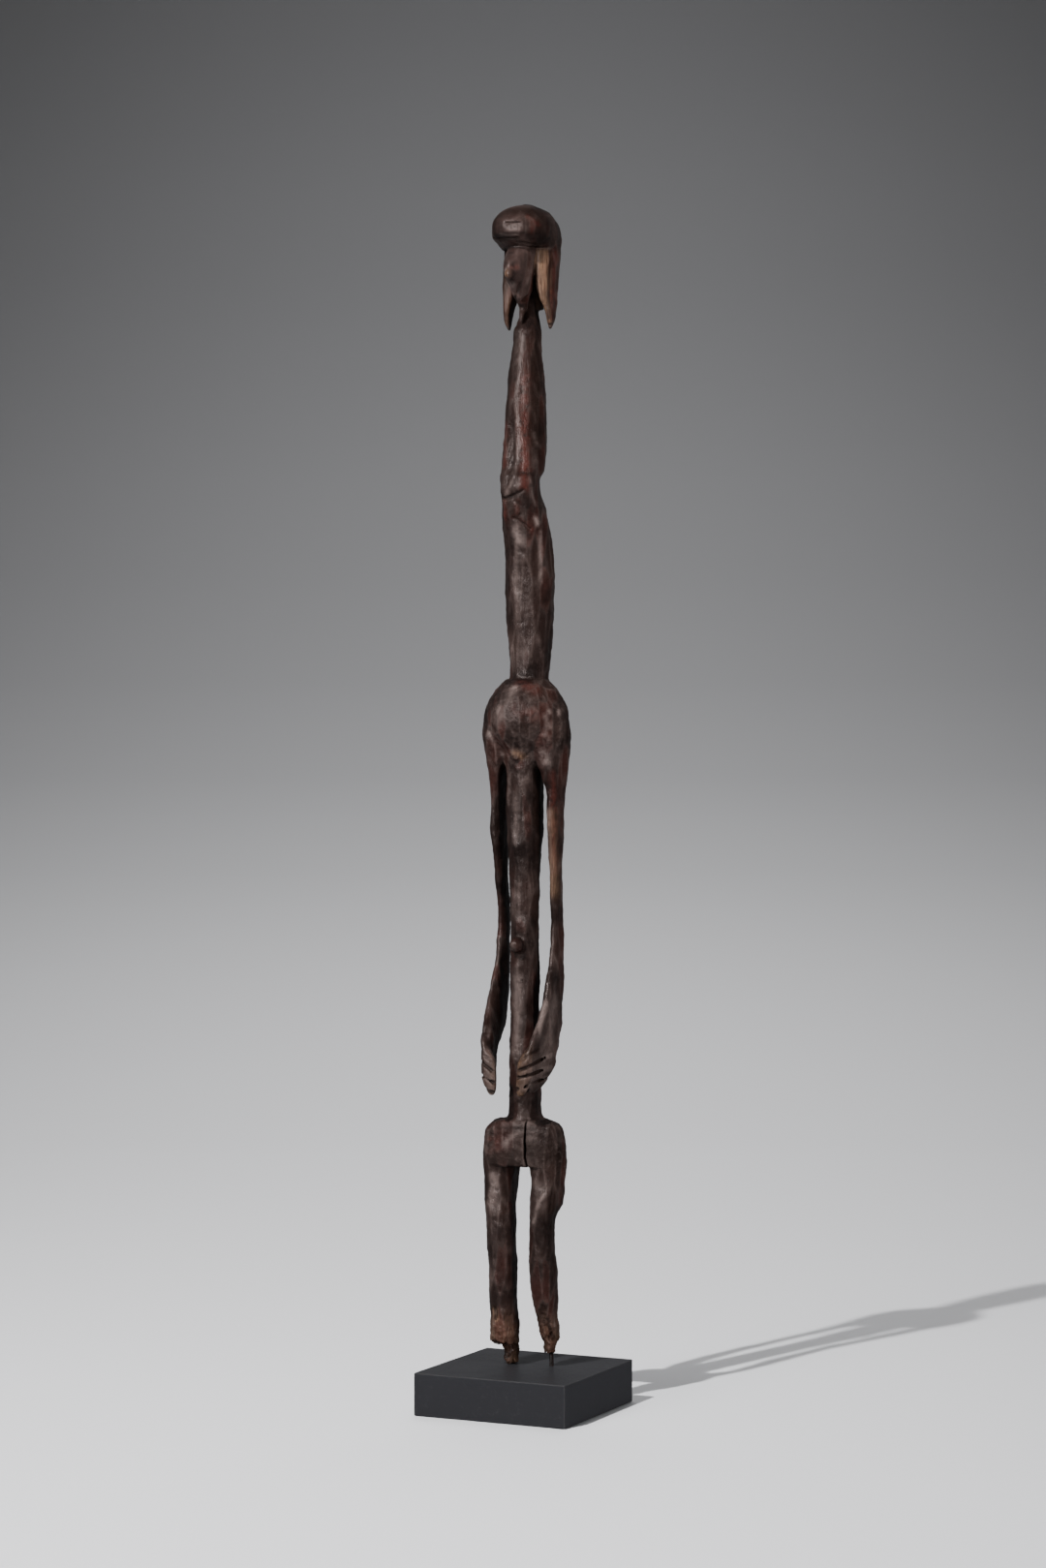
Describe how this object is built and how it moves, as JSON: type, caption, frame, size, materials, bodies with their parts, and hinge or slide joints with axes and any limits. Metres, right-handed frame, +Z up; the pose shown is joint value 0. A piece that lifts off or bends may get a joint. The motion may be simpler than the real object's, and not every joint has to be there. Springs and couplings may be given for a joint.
{
  "type": "carved wooden figure on a block",
  "caption": "Very tall, thin standing figure carved from one branch, with a capped head, a long two-part neck and flat hanging arms, held by a pin on a square black block.",
  "frame": {"origin": "middle of the block's underside", "axes": "+Z up, -Y is the way the figure faces, +X is the figure's left"},
  "size_m": [0.15, 0.15, 1.098],
  "materials": {
    "dark_wood": "old hand-rubbed wood, nearly black, with worn brown edges, low gloss",
    "black_paint": "flat black paint on smooth wood, with a faint sheen",
    "dark_steel": "darkened steel, dull"
  },
  "bodies": {
    "root": {"figure": "dark_wood", "plinth": "black_paint", "mounting_pin": "dark_steel"}
  },
  "joints": []
}
